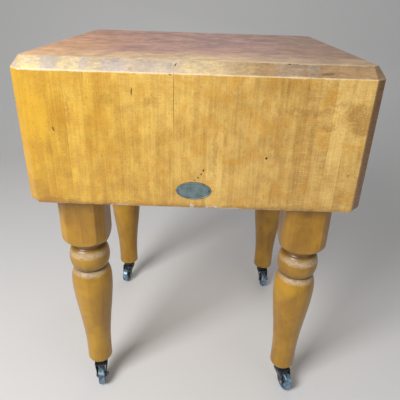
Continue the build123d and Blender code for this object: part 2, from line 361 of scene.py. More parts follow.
def blockLevels(sizes):
    # heights of the loops round each stave: closer at the rounded edges and along the crack
    foot = sizes.bottom + sizes.bottomRound * (1 - np.cos(np.linspace(0, math.pi / 2, 7)))
    (start, end), (below, short, number) = block["crackSpan"], block["crackLoops"]
    crack = sizes.bottom + np.linspace(start - below, end - short, number)
    bevel = sizes.top - sizes.bevelDrop + np.array(block["bevelLoops"]) * mm
    return np.concatenate([foot, crack, bevel, sizes.top - np.array(block["topLoops"]) * mm])


def sideInset(levels, sizes):
    # how far the block's side stands in at each height: a quarter round at the bottom, then
    # upright, then a straight bevel that starts softly and ends in a small round at the top
    radius = sizes.bottomRound
    fromBottom = np.clip(radius - (levels - sizes.bottom), 0, radius)
    rounding = radius - np.sqrt(radius ** 2 - fromBottom ** 2)
    slope = sizes.bevelInset / sizes.bevelDrop
    rise = (levels - (sizes.top - sizes.bevelDrop)) * slope
    soft = block["edgeSoftness"]
    bevel = soft * np.logaddexp(0, rise / soft)
    down, inward = block["topRound"]
    nearTop = np.clip(1 - (sizes.top - levels) / down, 0, 1)
    return rounding + bevel + inward * (1 - np.sqrt(1 - nearTop ** 2))


def makeRow(number, joints, tonesAndLight, sizes, material):
    # each stave is a stack of loops of eight points: a rectangle with its four
    # corners cut, whose outer sides follow the block's bevel and rounded foot,
    # and whose other sides meet the next stave with a slightly rounded edge
    chance = np.random.default_rng(block["seed"] + number)
    low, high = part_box(rowName(number))
    levels = blockLevels(sizes)
    count, loops = len(joints) - 1, len(levels)
    onBevel = levels > sizes.top - sizes.bevelDrop
    planed = 1 + block["bevelStep"] * (chance.random((count, 1)) - 0.5) * onBevel
    outer = sideInset(levels, sizes) * planed + block["step"] * chance.random((count, 1))
    atEnds = np.clip(1 - np.minimum(levels - levels[0], levels[-1] - levels) / block["arris"], 0, 1)
    inner = np.broadcast_to(block["arris"] * block["arrisRound"] * atEnds ** 2, (count, loops))
    insets = np.concatenate([np.zeros(loops), block["capInsets"]])
    first = (np.arange(count) == 0)[:, None]
    last = first[::-1]
    isFront, isBack = number == 1, number == block["rows"]
    x0 = joints[:-1, None] + np.where(first, outer, inner)
    x1 = joints[1:, None] - np.where(last, outer, inner)
    y0 = sizes.front + outer if isFront else low[1] + inner
    y1 = sizes.back - outer if isBack else high[1] - inner
    cut = np.full((4, count, loops), block["arris"])
    if isFront:  # the crack is widest at its top, where the bevel begins, and closes towards its foot
        start, end = (sizes.bottom + edge for edge in block["crackSpan"])
        opened = np.clip(1 - np.abs(levels - end) / (end - start), 0, 1) ** block["crackTaper"]
        opened = opened * (levels < end + mm)
        cut[1, block["crackJoint"] - 1] += block["crackWidth"] * opened
        cut[0, block["crackJoint"]] += block["crackWidth"] * opened
    corner = sizes.cornerCut - (2 - math.sqrt(2)) * outer
    for which, isCorner in enumerate((isFront & first, isFront & last, isBack & last, isBack & first)):
        cut[which] = np.where(isCorner, corner, cut[which])
    x = np.stack([x0 + cut[0], x1 - cut[1], x1, x1, x1 - cut[2], x0 + cut[3], x0, x0], -1)
    y = np.stack([y0, y0, y0 + cut[1], y1 - cut[2], y1, y1, y1 - cut[3], y0 + cut[0]], -1)
    outside = np.zeros(x.shape)
    for corners, isOuter in (([0, 1], isFront), ([4, 5], isBack), ([6, 7], first), ([2, 3], last)):
        isOuter = np.broadcast_to(isOuter, (count, 1))[:, :, None]
        outside[:, :, corners] = np.maximum(outside[:, :, corners], isOuter)

    # two more loops on the top, drawn in towards the stave's middle
    x, y, outside = (np.concatenate([part, part[:, -1:], part[:, -1:]], 1) for part in (x, y, outside))
    heights = np.append(levels, [levels[-1]] * 2)
    middleX, middleY = (part[:, -1:].mean(2, keepdims=True) for part in (x, y))
    x = x - np.sign(x - middleX) * insets[:, None]
    y = y - np.sign(y - middleY) * insets[:, None]
    loops += 2
    fromMiddle = np.clip(1 - (x / sizes.right) ** 2, 0, 1) * np.clip(1 - (y / sizes.back) ** 2, 0, 1)
    sunk = block["dish"] * fromMiddle + block["step"] * chance.random((count, 1, 1))
    nearTop = np.clip(1 - (levels[-1] - heights) / block["dishReach"], 0, 1)[:, None]
    z = heights[:, None] - sunk * nearTop
    starts = np.arange(count)[:, None] * loops * 8
    faces = [(part[None] + starts[:, :, None]).reshape(-1, part.shape[1]) for part in closedLoops(loops, 8)]

    arrises = (sizes.top - sizes.bevelDrop, sizes.top, sizes.bottom + block["lowWear"])
    away = np.min([np.abs(heights - arris) for arris in arrises], axis=0) + insets
    upward = (heights - sizes.bottom) / (sizes.top - sizes.bottom)
    upward = np.interp(upward, block["toneFade"], (0, 1))[:, None]
    # each stave's tone; the front row's also holds a painted light falloff, darker towards the right
    atTop, atFoot = (ends[:, None, None] for ends in tonesAndLight)
    # wear: nearness to an arris, which the material paints pale, as wear and as a painted highlight
    values = {"wear": np.exp(-away / block["wearReach"])[:, None] * outside,
              "groove": (1 - outside) * np.exp(-insets / block["grooveReach"])[:, None],
              "seed": chance.random((count, 1, 1)), "tone": atFoot * (1 - upward) + atTop * upward}
    addPiece(f"blockRow{number:02d}", (x, y, z), faces, values, rowName(number), material)


maple = dict(
    amberDark=(0.31, 0.122, 0.002), amberLight=(0.81, 0.486, 0.036),
    honeyDark=(0.32, 0.148, 0.018), honeyLight=(0.85, 0.558, 0.155),
    orange=(0.7, 0.385, 0.018), ochre=(0.58, 0.27, 0.018), creamy=(0.8, 0.61, 0.25),
    # the last colour on the next line is painted shade for the right front corner
    brown=(0.28, 0.12, 0.014), corner=(0.15, 0.06, 0.022),
    topMauve=(0.53, 0.29, 0.215), topPurple=(0.38, 0.2, 0.18), topOrange=(0.72, 0.4, 0.21),
    topOlive=(0.4, 0.225, 0.13), topPale=(0.78, 0.54, 0.29),
    bevelPale=(0.52, 0.405, 0.28), bevelLilac=(0.42, 0.36, 0.32), bevelCream=(0.76, 0.57, 0.23),
    bevelTan=(0.4, 0.25, 0.122), bevelBrown=(0.17, 0.095, 0.045),
    # the first colour on the next line is the pale of worn arrises, and also a painted highlight along them
    rawEdgeAndHighlight=(0.88, 0.71, 0.45), chip=(0.62, 0.59, 0.5), soot=(0.035, 0.02, 0.012),
    ringSpacing=0.006,
    sockets={"Coat Weight": 0.3, "Coat Roughness": 0.2},
    # noises: scale, or one for each axis, then detail, roughness, distortion and shift
    noises=dict(
        crazing=((90, 90, 560), 4, 0.65), streaks=((190, 190, 7), 5, 0.65),
        blotches=((42, 42, 29.4), 4, 0.62, 0.3), dust=(480, 3, 0.75),
        warmth=(26, 5, 0.62, 0.6, (3.1, 1.7, 0.4)), curl=((34, 34, 460), 2, 0.55),
        scratches=((55, 55, 620), 4, 0.7), flecks=((170, 170, 480), 5, 0.78),
        grime=(34, 5, 0.65), chipEdge=(170, 5, 0.7), jointDirt=(22, 3),
        topCloud=(9, 5, 0.6, 0.4), topFog=(24, 4, 0.6, 0.3),
        bevelCloud=((30, 75, 75), 5, 0.65), bevelBreaks=((60, 200, 200), 4, 0.65),
        bevelSpeckle=((160, 260, 260), 3, 0.6),
        alongArris=(11, 4, 0.6, 0, (2.3, 0.4, 0)), swell=(16, 2),
    ),
    # ovals on the front: place across, height above the underside,
    # half width and half height in millimetres, strength
    dents=(
        (-131.5, 262.4, 1.3, 8.5, 0.7), (-301.2, 182, 1.4, 2.2, 0.8), (-300, 179.7, 1.4, 2.2, 0.8),
        (-298.8, 177.4, 1.4, 2.2, 0.7), (-202.1, 122.6, 1.5, 1.8, 0.5), (152.8, 129.3, 2.4, 2.8, 1),
        (18.5, 96.5, 1.7, 2.8, 0.9), (13.5, 87.5, 1.7, 2.2, 0.9), (7.5, 79, 1.8, 2.2, 0.8),
        (-0.5, 72.5, 3.4, 1.6, 0.4), (335, 95, 1.6, 2.2, 0.5), (-125, 297, 2.6, 1, 0.5),
        (-54, 297.2, 3, 2, 0.4), (-46.4, 242, 0.9, 60, 0.4)),
    scuffs=(
        (336, 228, 36, 20, 1), (344, 200, 26, 15, 1), (305, 248, 26, 7, 0.7), (172, 190, 10, 75, 0.6),
        (230, 233, 56, 7, 0.75), (272, 198, 18, 6, 0.85), (-100, 241, 22, 9, 0.55),
        (-143, 230, 18, 9, 0.45), (-185, 243, 11, 12, 0.45), (-264, 220, 5, 38, 0.6),
        (-320, 12, 64, 8, 1), (-100, 11, 120, 5, 0.5), (200, 11, 160, 6, 0.55), (40, 130, 5, 56, 0.55),
        (220, 270, 20, 20, 0.35), (-335, 100, 10, 90, 0.4), (-75, 155, 18, 40, 0.3),
        (245, 110, 6, 90, 0.35), (-348, 38, 22, 26, 0.7)),
    glows=((-342, 206, 40, 70, 0.75), (-356, 100, 34, 140, 0.5)),
    lowChips=((-170, 4, 26, 5, 1), (-5, 8.5, 5, 7.5, 1), (42, 5, 24, 6.5, 1), (90, 3, 20, 5, 1)),
    # marks on the bevel: colour, drop below its middle, half
    # height, then place across, half width and strength of each
    bevelMarks=(
        ("bevelLilac", 0, 30, (
            (-302, 20, 1), (-228, 12, 0.9), (-170, 26, 1), (-95, 30, 0.5), (-56, 5, 0.8), (185, 26, 0.5),
            (230, 12, 0.7))),
        ("bevelCream", 0, 30, (
            (-338, 26, 0.9), (-256, 22, 0.7), (-206, 14, 0.5), (10, 46, 0.6), (90, 30, 0.3))),
        ("bevelBrown", 6, 6, ((263, 16, 1), (285, 20, 0.6), (-133, 4, 0.4), (220, 26, 0.3)))),
    # nicks in the top: place across, distance from the front, half width and half depth
    topNicks=((-44.6, 10.8, 1.4, 1.1), (-43.6, 11.9, 1.4, 1.1), (-42.7, 13, 1.2, 1), (182, 17, 2.2, 1.2)),
)


def spotsOf(place, corner, spots):
    # one mask for a list of oval spots, the largest of which counts: each has its place from a
    # corner and its half sizes, both across, inwards and up in millimetres, and its strength
    masks = []
    for *centre, wide, deep, high, strength in spots:
        centre = [start + away * mm for start, away in zip(corner, centre)]
        mask = useGroup(ovalSpot, place, centre, (wide * mm, deep * mm, high * mm))["Mask"]
        masks.append(times(mask, strength))
    return reduce(larger, masks)


def frontSpots(place, sizes, spots, deep, grown=1, inward=0):
    # ovals on the front, reaching deep into it, and grown to make up for their soft edges
    return spotsOf(place, (0, sizes.front, sizes.bottom), [
        (x, inward, up, wide * grown, deep, high * grown, strength) for x, up, wide, high, strength in spots])


def shaken(place, reach):
    # places moved about by noise, so that outlines drawn at them are ragged
    cloud = noise(place, 55, 4, 0.65, output="Color")
    away = vectors("MULTIPLY", vectors("SUBTRACT", cloud, (0.5, 0.5, 0.5)), (reach, 0, reach))
    return vectors("ADD", place, away)


def sideColour(place, where, grain, noises, tone, sizes):
    # upright staves, amber at the left and honey at the right: lightness is the stave's own tone, with a
    # painted light falloff on the front row, and seven noises; then orange at the left, ochre clouds, curly
    # figure on the pale staves, scratches at the right, painted shade on the right corner, and brown scuffs,
    # grime along the foot, specks and pores
    lightness = layered(timesPlus(tone, 0.8, 0.12), (
        (grain["Mottle"], 0.11), (noises.blotches, 0.12), (noises.streaks, 0.11),
        (grain["Fibres"], 0.03), (grain["Rings"], 0.05), (noises.crazing, 0.03), (noises.dust, 0.14)))
    amber = blend(lightness, maple["amberDark"], maple["amberLight"])
    honey = blend(lightness, maple["honeyDark"], maple["honeyLight"])
    across = timesPlus(grain["Mottle"], 0.2, minus(where["X"], 0.1))
    side = blend(spread(across, 0, 1, -0.36, 0.16), amber, honey)
    nearFront = spread(where["Y"], 1, 0.2, -0.33, -0.15)
    side = blend(times(spread(across, 0.8, 0, -0.4, -0.34), nearFront), side, maple["orange"])
    side = blend(frontSpots(place, sizes, maple["glows"], 60), side, maple["orange"])
    side = blend(spread(noises.warmth, 0, 0.5, 0.48, 0.64), side, maple["ochre"])
    curly = times(spread(tone, 0, 1, 0.5, 0.85), spread(noises.curl, 0, 1, 0.4, 0.62))
    scratches = noises.scratches
    scratched = times(spread(where["X"], 0.05, 0.5, 0.16, 0.28), spread(scratches, 0, 1, 0.5, 0.68))
    side = blend(larger(times(curly, 0.35), scratched), side, maple["creamy"])
    # painted shade on the right front corner, streaked with ochre
    corner = times(spread(where["X"], 0, 0.95, 0.354, 0.366), nearFront)
    paintedCornerShade = blend(spread(scratches, 0, 0.55, 0.42, 0.62), maple["corner"], maple["ochre"])
    side = blend(corner, side, paintedCornerShade)
    scuffed = frontSpots(shaken(place, 0.046), sizes, maple["scuffs"], 20, 1.25)
    scuffed = larger(scuffed, times(stain(place, 7, 0.6, 0.12), 0.45))
    scuffed = times(scuffed, spread(noises.flecks, 0.18, 0.72, 0.36, 0.62))
    grime = spread(where["Z"], 1, 0, sizes.bottom + 0.002, sizes.bottom + 0.016)
    grime = times(grime, spread(noises.grime, 0.1, 0.8, 0.42, 0.6))
    for dirt in (scuffed, grime, times(stain(place, 190, 0.61, 0.06), 0.34), times(grain["Pores"], 0.14)):
        side = blend(dirt, side, maple["brown"])
    return side


def topColour(place, where, grain, noises, tone, sizes):
    # end grain, cloudy and soft: mauve in the middle with purple patches, orange towards the left, olive
    # towards the right and a pale band along the front, with a painted light falloff from the lighter left to
    # the darker right
    drift = timesPlus(noises.topCloud, 0.24, -0.12)
    x = plus(where["X"], drift)
    y = minus(plus(where["Y"], drift), sizes.front)
    patches = times(stain(place, 13, 0.5, 0.08), spread(y, 0.35, 0.8, 0.1, 0.45))
    top = blend(patches, maple["topMauve"], maple["topPurple"])
    leftward = times(spread(x, 0.85, 0, -0.33, -0.12), spread(y, 1, 0.35, 0.25, 0.6))
    top = blend(leftward, top, maple["topOrange"])
    top = blend(spread(x, 0, 0.8, 0.1, 0.3), top, maple["topOlive"])
    band = times(spread(y, 0.95, 0, 0.02, 0.2), spread(where["X"], 1, 0.55, 0.05, 0.26))
    band = times(band, spread(x, 0.45, 1, -0.32, -0.08))
    top = blend(band, top, maple["topPale"])
    shade = plus(spread(grain["Mottle"], 0.92, 1.06, 0.34, 0.66), spread(tone, -0.03, 0.03, 0.2, 0.8))
    shade = plus(layered(shade, [(grain["Rings"], 0.04)]), spread(noises.topFog, -0.17, 0.17, 0.34, 0.66))
    # painted light falloff: lighter at the left, darker at the right
    return brightened(top, plus(shade, spread(x, 0.12, -0.14, -0.3, 0.34)))


def bevelColour(place, where, noises, tone, sizes):
    # rubbed pale at the left with cream and lilac marks, browner towards the right with a few
    # brown marks, cloudy and speckled all along, darker to the right with the tones' painted light falloff,
    # and a little darker towards its upper edge
    cloud = noises.bevelCloud
    x = timesPlus(cloud, 0.06, minus(where["X"], 0.03))
    bevel = blend(spread(x, 0, 1, -0.02, 0.14), maple["bevelPale"], maple["bevelTan"])
    y, foot = sizes.front + sizes.bevelInset / 2, sizes.top - sizes.bevelDrop
    middle = foot + sizes.bevelDrop / 2
    broken = spread(noises.bevelBreaks, 0.15, 1, 0.4, 0.6)
    for name, drop, reach, marks in maple["bevelMarks"]:
        mask = spotsOf(place, (0, y, middle), [
            (across, 0, -drop, wide * 1.3, 50, reach, strength) for across, wide, strength in marks])
        bevel = blend(times(mask, broken), bevel, maple[name])
    shade = plus(spread(cloud, 0.86, 1.14, 0.3, 0.7), spread(tone, -0.09, 0.09, 0.2, 0.8))
    shade = layered(shade, [(noises.bevelSpeckle, 0.1)])
    return brightened(bevel, plus(shade, spread(where["Z"], 0.07, -0.09, foot, sizes.top)))


def makeBlockMaterial(sizes):
    # side, bevel and top by which way the surface faces; then pale arrises, worn and with a painted
    # highlight, dirt in the glue joints, chips along the foot and black dents, with gloss only where nothing
    # is worn
    material, shader, place, noises = newMaterial("varnishedBlockMaple", maple)
    where = split(place)
    seed, tone, wear, groove = attributes(place, "seed", "tone", "wear", "groove")
    grain = useGroup(woodGrain, place, seed, maple["ringSpacing"])
    facing = split(makeNode("NewGeometry", output="Normal", tree=place.id_data))["Z"]
    isTop, isBevel = spread(facing, 0, 1, 0.8, 0.97), spread(facing, 0, 1, 0.25, 0.45)
    surface = sideColour(place, where, grain, noises, tone, sizes)
    surface = blend(isBevel, surface, bevelColour(place, where, noises, tone, sizes))
    surface = blend(isTop, surface, topColour(place, where, grain, noises, tone, sizes))

    # pale arrises: partly real wear, partly a painted highlight along the bevel's lower edge and the upper
    # arris
    wornAndHighlight = times(spread(wear, 0, 1, 0.52, 0.95), spread(noises.alongArris, 0.25, 0.85, 0.4, 0.6))
    wornAndHighlight = larger(times(rubbedOff(place, wear, 260, 0.45), 0.5), wornAndHighlight)
    upper = times(spread(where["Z"], 0, 1, sizes.top - 0.01, sizes.top - 0.004),
                  spread(where["X"], 0.65, 0.15, 0.05, 0.2))
    wornAndHighlight = times(wornAndHighlight, minus(1, upper))  # the upper arris gets less of the wear and painted highlight, least at the left
    surface = blend(wornAndHighlight, surface, maple["rawEdgeAndHighlight"])
    joint = times(groove, spread(noises.jointDirt, 0, 0.35, 0.44, 0.66))
    surface = blend(times(joint, timesPlus(isTop, -0.45, 0.7)), surface, maple["brown"])
    chips = spread(frontSpots(place, sizes, maple["lowChips"], 12, inward=2), 0, 1, 0.05, 0.4)
    surface = blend(times(chips, spread(noises.chipEdge, 0, 0.85, 0.42, 0.58)), surface, maple["chip"])
    ragged = shaken(place, 0.004)
    nicks = spotsOf(ragged, (0, sizes.front, sizes.top), [
        (x, inward, 0, wide, deep, 30, 1) for x, inward, wide, deep in maple["topNicks"]])
    dents = larger(frontSpots(ragged, sizes, maple["dents"], 4, 1.2), nicks)
    surface = blend(times(dents, 1.2), surface, maple["soot"])

    roughness = timesPlus(grain["Mottle"], 0.22, timesPlus(isTop, 0.2, 0.3))
    height = timesPlus(grain["Fibres"], 0.1, times(grain["Rings"], 0.04))
    for value, share in ((noises.swell, 0.9), (dents, -0.4), (wornAndHighlight, -0.3)):
        height = timesPlus(value, share, height)
    gloss = maple["sockets"]["Coat Weight"]
    coat = timesPlus(wornAndHighlight, -0.3, timesPlus(isTop, -gloss, gloss), clamp=True)
    feed(shader, {"Base Color": surface, "Roughness": timesPlus(wornAndHighlight, 0.25, roughness, clamp=True),
                  "Normal": bumpOf(height, 0.35, 0.0016),
                  "Coat Weight": timesPlus(dents, -0.6, coat, clamp=True)})
    return material


def buildBlock():
    # the front row has its own widths and tones, and the others take their joints from the frame
    sizes = readBlock()
    material = makeBlockMaterial(sizes)
    shares = np.concatenate([[0], np.cumsum(block["frontWidths"])]) / sum(block["frontWidths"])
    chance = np.random.default_rng(block["seed"])
    mean, deviation, least, most = block["otherTones"]
    for number in range(1, block["rows"] + 1):
        if number == 1:
            joints = sizes.left + (sizes.right - sizes.left) * shares
            tonesAndLight = np.array(block["frontTonesAndLight"]) / 100
        else:
            joints = rowJoints(number, sizes)
            tonesAndLight = np.clip(chance.normal(mean, deviation, (2, len(joints) - 1)), least, most)
        makeRow(number, joints, tonesAndLight, sizes, material)
    print("block:", block["rows"], "rows of staves")


buildBlock()


leg = dict(
    side=0.112, chamfer=0.019, squareLength=0.142, shoulderRadius=0.022,
    neckRadius=0.039, neckLength=0.018,
    beadCore=0.038, beadBulge=0.015, beadHalfHeight=0.034, beadReach=0.033,
    grooveRadius=0.04, grooveDrop=0.002,
    vaseRadius=0.0545, vaseShoulder=0.044,
    waistRadius=0.044, waistHeight=0.17, ankleRadius=0.0358, ankleHeight=0.072,
    footRadius=0.0354, footRound=0.008, footRest=0.029,
    softness=0.00045,  # how softly the flats, chamfers and turned part run into each other
    wobble=0.00018,  # how unevenly the leg is turned
    waves=(41, 97),  # and how fast that changes along it
    seeds=(0.13, 0.21),  # grain seed of the first leg, and the step to the next
    closest=0.6,  # even points stand at least this far from those beside the arrises, in degrees
    sharpAngle=50,
    loops=(10, 74, 26, 3, 46, 14, 34, 22),  # loops of points in each turned form, from the foot up
    uniformAngles=88,
    arrisAngles=(-1.4, -0.5, 0, 0.5, 1.4),  # more points beside each upright arris, in degrees
    seed=31,
    # tone of the right and the left board of each leg
    boardTones=dict(front_left=(0.58, 0.66), front_right=(0.54, 0.36), back_left=(0.42, 0.46),
                    back_right=(0.38, 0.42)),
    # pale bands, partly wear and partly a painted highlight: height above a mark, spread and strength
    wornAndHighlightBands=dict(bead=(0.019, 0.011, 0.6), vase=(0.042, 0.014, 0.6), neckTop=(0.01, 0.006, 0.2)),
    wornFoot=(0.006, 0.5),  # spread and strength
    wornArris=(0.0016, 0.16, 0.012),  # spread, strength, and how far above the square's foot it starts
    wornSide=(0.62, 0.38, 0.35),  # wear all round, more of it outwards, and that side's turn rightwards
    # soil in the hollows, with painted shade under the bead: height above a mark, and how far it reaches up
    # and down
    soilAndShade=dict(seat=(0.002, 0.01, 0.007), grooveBottom=(0.001, 0.016, 0.003)),
)


def steadyCurve(heights, radii, at):
    # a smooth cubic curve through the given points, level at both ends and bending evenly between
    steps = np.diff(heights)
    rates = np.diff(radii) / steps
    size = len(heights)
    system, right = np.eye(size), np.zeros(size)
    for row in range(1, size - 1):
        before, after = 1 / steps[row - 1], 1 / steps[row]
        system[row, row - 1:row + 2] = before, 2 * (before + after), after
        right[row] = 3 * (rates[row - 1] * before + rates[row] * after)
    slopes = np.linalg.solve(system, right)
    index = np.clip(np.searchsorted(heights, at, side="right") - 1, 0, size - 2)
    step = steps[index]
    t = np.clip((at - heights[index]) / step, 0, 1)
    return ((1 + 2 * t) * (1 - t) ** 2 * radii[index] + t * (1 - t) ** 2 * step * slopes[index]
            + t ** 2 * (3 - 2 * t) * radii[index + 1] - t ** 2 * (1 - t) * step * slopes[index + 1])


def legMarks(length):
    # heights above the foot where one turned form ends and the next begins
    neckTop = length - leg["squareLength"]
    seat = neckTop - leg["neckLength"]
    bead = seat - leg["beadReach"]
    grooveBottom = bead - leg["beadReach"] - leg["grooveDrop"]
    return {"vase": grooveBottom - leg["vaseShoulder"], "grooveBottom": grooveBottom,
            "grooveTop": grooveBottom + leg["grooveDrop"], "bead": bead, "seat": seat, "neckTop": neckTop,
            "square": neckTop + leg["shoulderRadius"]}


def arc(t):
    # a quarter circle: 1 where t is 0, down to 0 where t is 1
    return np.sqrt(1 - t ** 2)


def turnedRadius(height, marks):
    # the lathe's profile from the foot up: a rounded toe, the long vase, its shoulder, a groove, the
    # bead, the neck and the hollow shoulder cut into the square, each an ellipse or a smooth curve
    half = leg["side"] / 2
    neckEnd = math.hypot(half, half - leg["chamfer"]) - leg["shoulderRadius"]
    downToe = np.clip(1 - height / leg["footRound"], 0, 1)
    toe = leg["footRest"] + (leg["footRadius"] - leg["footRest"]) * arc(downToe)
    heights = np.array([leg["footRound"], leg["ankleHeight"], leg["waistHeight"], marks["vase"]])
    radii = np.array([leg["footRadius"], leg["ankleRadius"], leg["waistRadius"], leg["vaseRadius"]])
    vase = steadyCurve(heights, radii, height)
    upVase = np.clip((height - marks["vase"]) / leg["vaseShoulder"], 0, 1)
    shoulder = leg["grooveRadius"] + (leg["vaseRadius"] - leg["grooveRadius"]) * arc(upVase)
    fromBead = np.clip(np.abs(height - marks["bead"]), 0, leg["beadReach"]) / leg["beadHalfHeight"]
    bead = leg["beadCore"] + leg["beadBulge"] * arc(fromBead)
    beadFoot = leg["beadCore"] + leg["beadBulge"] * arc(leg["beadReach"] / leg["beadHalfHeight"])
    upGroove = np.clip((height - marks["grooveBottom"]) / leg["grooveDrop"], 0, 1)
    groove = leg["grooveRadius"] + (beadFoot - leg["grooveRadius"]) * upGroove
    t = np.clip((height - marks["seat"]) / leg["neckLength"], 0, 1)
    neck = beadFoot * (1 - t) * (1 - 2 * t) + leg["neckRadius"] * 4 * t * (1 - t) + neckEnd * t * (2 * t - 1)
    downHollow = np.clip((marks["square"] - height) / leg["shoulderRadius"], 0, 1)
    hollow = neckEnd + leg["shoulderRadius"] * arc(downHollow)
    beyond = 4 * leg["side"]  # further out than the square ever is
    forms = {leg["footRound"]: toe, marks["vase"]: vase, marks["grooveBottom"]: shoulder,
             marks["grooveTop"]: groove, marks["seat"]: bead, marks["neckTop"]: neck, marks["square"]: hollow}
    return np.select([height < end for end in forms], list(forms.values()), beyond)


def squareRadius(angle):
    # distance from the axis to the leg's eight flats, the nearest of which counts
    half = leg["side"] / 2
    chamferAway = (2 * half - leg["chamfer"]) / math.sqrt(2)
    turns = angle[:, None] - np.arange(8) * math.pi / 4
    away = np.where(np.arange(8) % 2 == 0, half, chamferAway)
    facing = np.maximum(np.cos(turns), 1e-3)  # flats that face away are far off
    return -leg["softness"] * np.log(np.exp(-(away / facing - half) / leg["softness"]).sum(1)) + half


def legLevels(length, marks):
    # heights of the loops: in each form they lie closer together towards its ends
    edges = [0, leg["footRound"], *marks.values(), length]
    del edges[edges.index(marks["bead"])]
    parts = [start + (end - start) * (1 - np.cos(np.linspace(0, math.pi, number + 1)[:-1])) / 2
             for start, end, number in zip(edges[:-1], edges[1:], leg["loops"])]
    return np.concatenate(parts + [[length]])


def arrisTurn():
    # angle from the middle of a flat to the arris beside it
    half = leg["side"] / 2
    return math.atan2(half - leg["chamfer"], half)


def legAngles():
    # even steps all round, and a few more points beside each arris
    arrises = np.arange(4)[:, None] * math.pi / 2 + np.array([arrisTurn(), math.pi / 2 - arrisTurn()])
    close = (arrises.reshape(-1, 1) + np.radians(leg["arrisAngles"])).ravel()
    even = np.linspace(0, 2 * math.pi, leg["uniformAngles"], endpoint=False)
    apart = np.abs((even[:, None] - close + math.pi) % (2 * math.pi) - math.pi).min(1)
    return np.sort(np.concatenate([close, even[apart > math.radians(leg["closest"])]]) % (2 * math.pi))


def legValues(levels, angles, marks, outwardTurn):
    # wear is the largest of a few bell-shaped bands, partly a painted highlight, stronger outwards,
    # and the upright arrises; soil and painted shade fade up and down from each hollow
    bands = [np.exp(-((levels - marks[mark] - up) / reach) ** 2) * strength
             for mark, (up, reach, strength) in leg["wornAndHighlightBands"].items()]
    reach, strength = leg["wornFoot"]
    bands.append(np.exp(-levels / reach) * strength)
    least, more, _ = leg["wornSide"]
    banded = np.max(bands, axis=0)[:, None] * (least + more * np.cos(angles - outwardTurn))
    chamferTurn = np.abs((angles + math.pi / 4) % (math.pi / 2) - math.pi / 4)
    fromArris = np.abs(chamferTurn - arrisTurn()) * leg["side"] / 2
    reach, strength, start = leg["wornArris"]
    onArris = np.exp(-fromArris / reach) * (levels > marks["neckTop"] + start)[:, None]
    soilAndShade = 0
    for mark, (rise, up, down) in leg["soilAndShade"].items():
        above = levels - marks[mark] - rise
        soilAndShade = np.maximum(soilAndShade, np.exp(-np.maximum(above / up, -above / down)))
    return np.maximum(banded, onArris * strength), soilAndShade[:, None]


def makeLeg(cornerName, number, material):
    # a leg is a function of height and angle: the turned profile
    # or the chamfered square, whichever is nearer the axis
    chance = np.random.default_rng(leg["seed"] + number)
    low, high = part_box(f"leg_{cornerName}")
    length = high[2] - low[2]
    marks = legMarks(length)
    levels, angles = legLevels(length, marks), legAngles()
    turned, square = turnedRadius(levels, marks)[:, None], squareRadius(angles)
    radius = np.minimum(turned, square)
    radius = radius - leg["softness"] * np.log1p(np.exp(-np.abs(turned - square) / leg["softness"]))
    phase, (slow, fast) = chance.random(3) * 6, leg["waves"]
    uneven = np.sin(levels[:, None] * slow + phase[0]) * np.sin(2 * angles + phase[1])
    uneven = uneven + np.sin(levels[:, None] * fast + 3 * angles + phase[2])
    radius = radius - leg["wobble"] * (1 + uneven / 2)
    x = (low[0] + high[0]) / 2 + radius * np.cos(angles)
    y = (low[1] + high[1]) / 2 + radius * np.sin(angles)
    outwardTurn = math.atan2(np.sign(low[1] + high[1]), leg["wornSide"][2])
    wear, soilAndShade = legValues(levels, angles, marks, outwardTurn)
    onRight = np.cos(angles) > 0
    seed = leg["seeds"][0] + leg["seeds"][1] * number
    values = {"wear": wear, "soilAndShade": soilAndShade, "seed": seed, "board": onRight,
              "tone": np.where(onRight, *leg["boardTones"][cornerName])}
    addPiece("turned" + cornerName.title().replace("_", "") + "Leg", (x, y, (low[2] + levels)[:, None]),
             closedLoops(len(levels), len(angles)), values, f"leg_{cornerName}", material,
             leg["sharpAngle"])


legFinish = dict(
    dark=(0.21, 0.088, 0.003), light=(0.48, 0.25, 0.009), glow=(0.57, 0.305, 0.007),
    # the pale colour on the next line is wear and a painted highlight; the darkest one is dirt and painted
    # shade under the bead
    wornAndHighlight=(0.68, 0.575, 0.43), soilAndShade=(0.05, 0.024, 0.008), brown=(0.16, 0.07, 0.01),
    ringSpacing=0.0075,
    sockets={"Coat Weight": 0.26, "Coat Roughness": 0.18},
    # noises: scale, or one for each axis, then detail, roughness, distortion and shift
    noises=dict(
        cloud=((38, 38, 19), 5, 0.62, 0.4), warmth=(12, 3, 0.5, 0, (5.3, 0.9, 2.2)),
        flecks=((150, 150, 220), 4, 0.7), crackle=((300, 300, 520), 4, 0.7),
        patches=((80, 80, 150), 4, 0.65), swell=(26, 2),
    ),
)


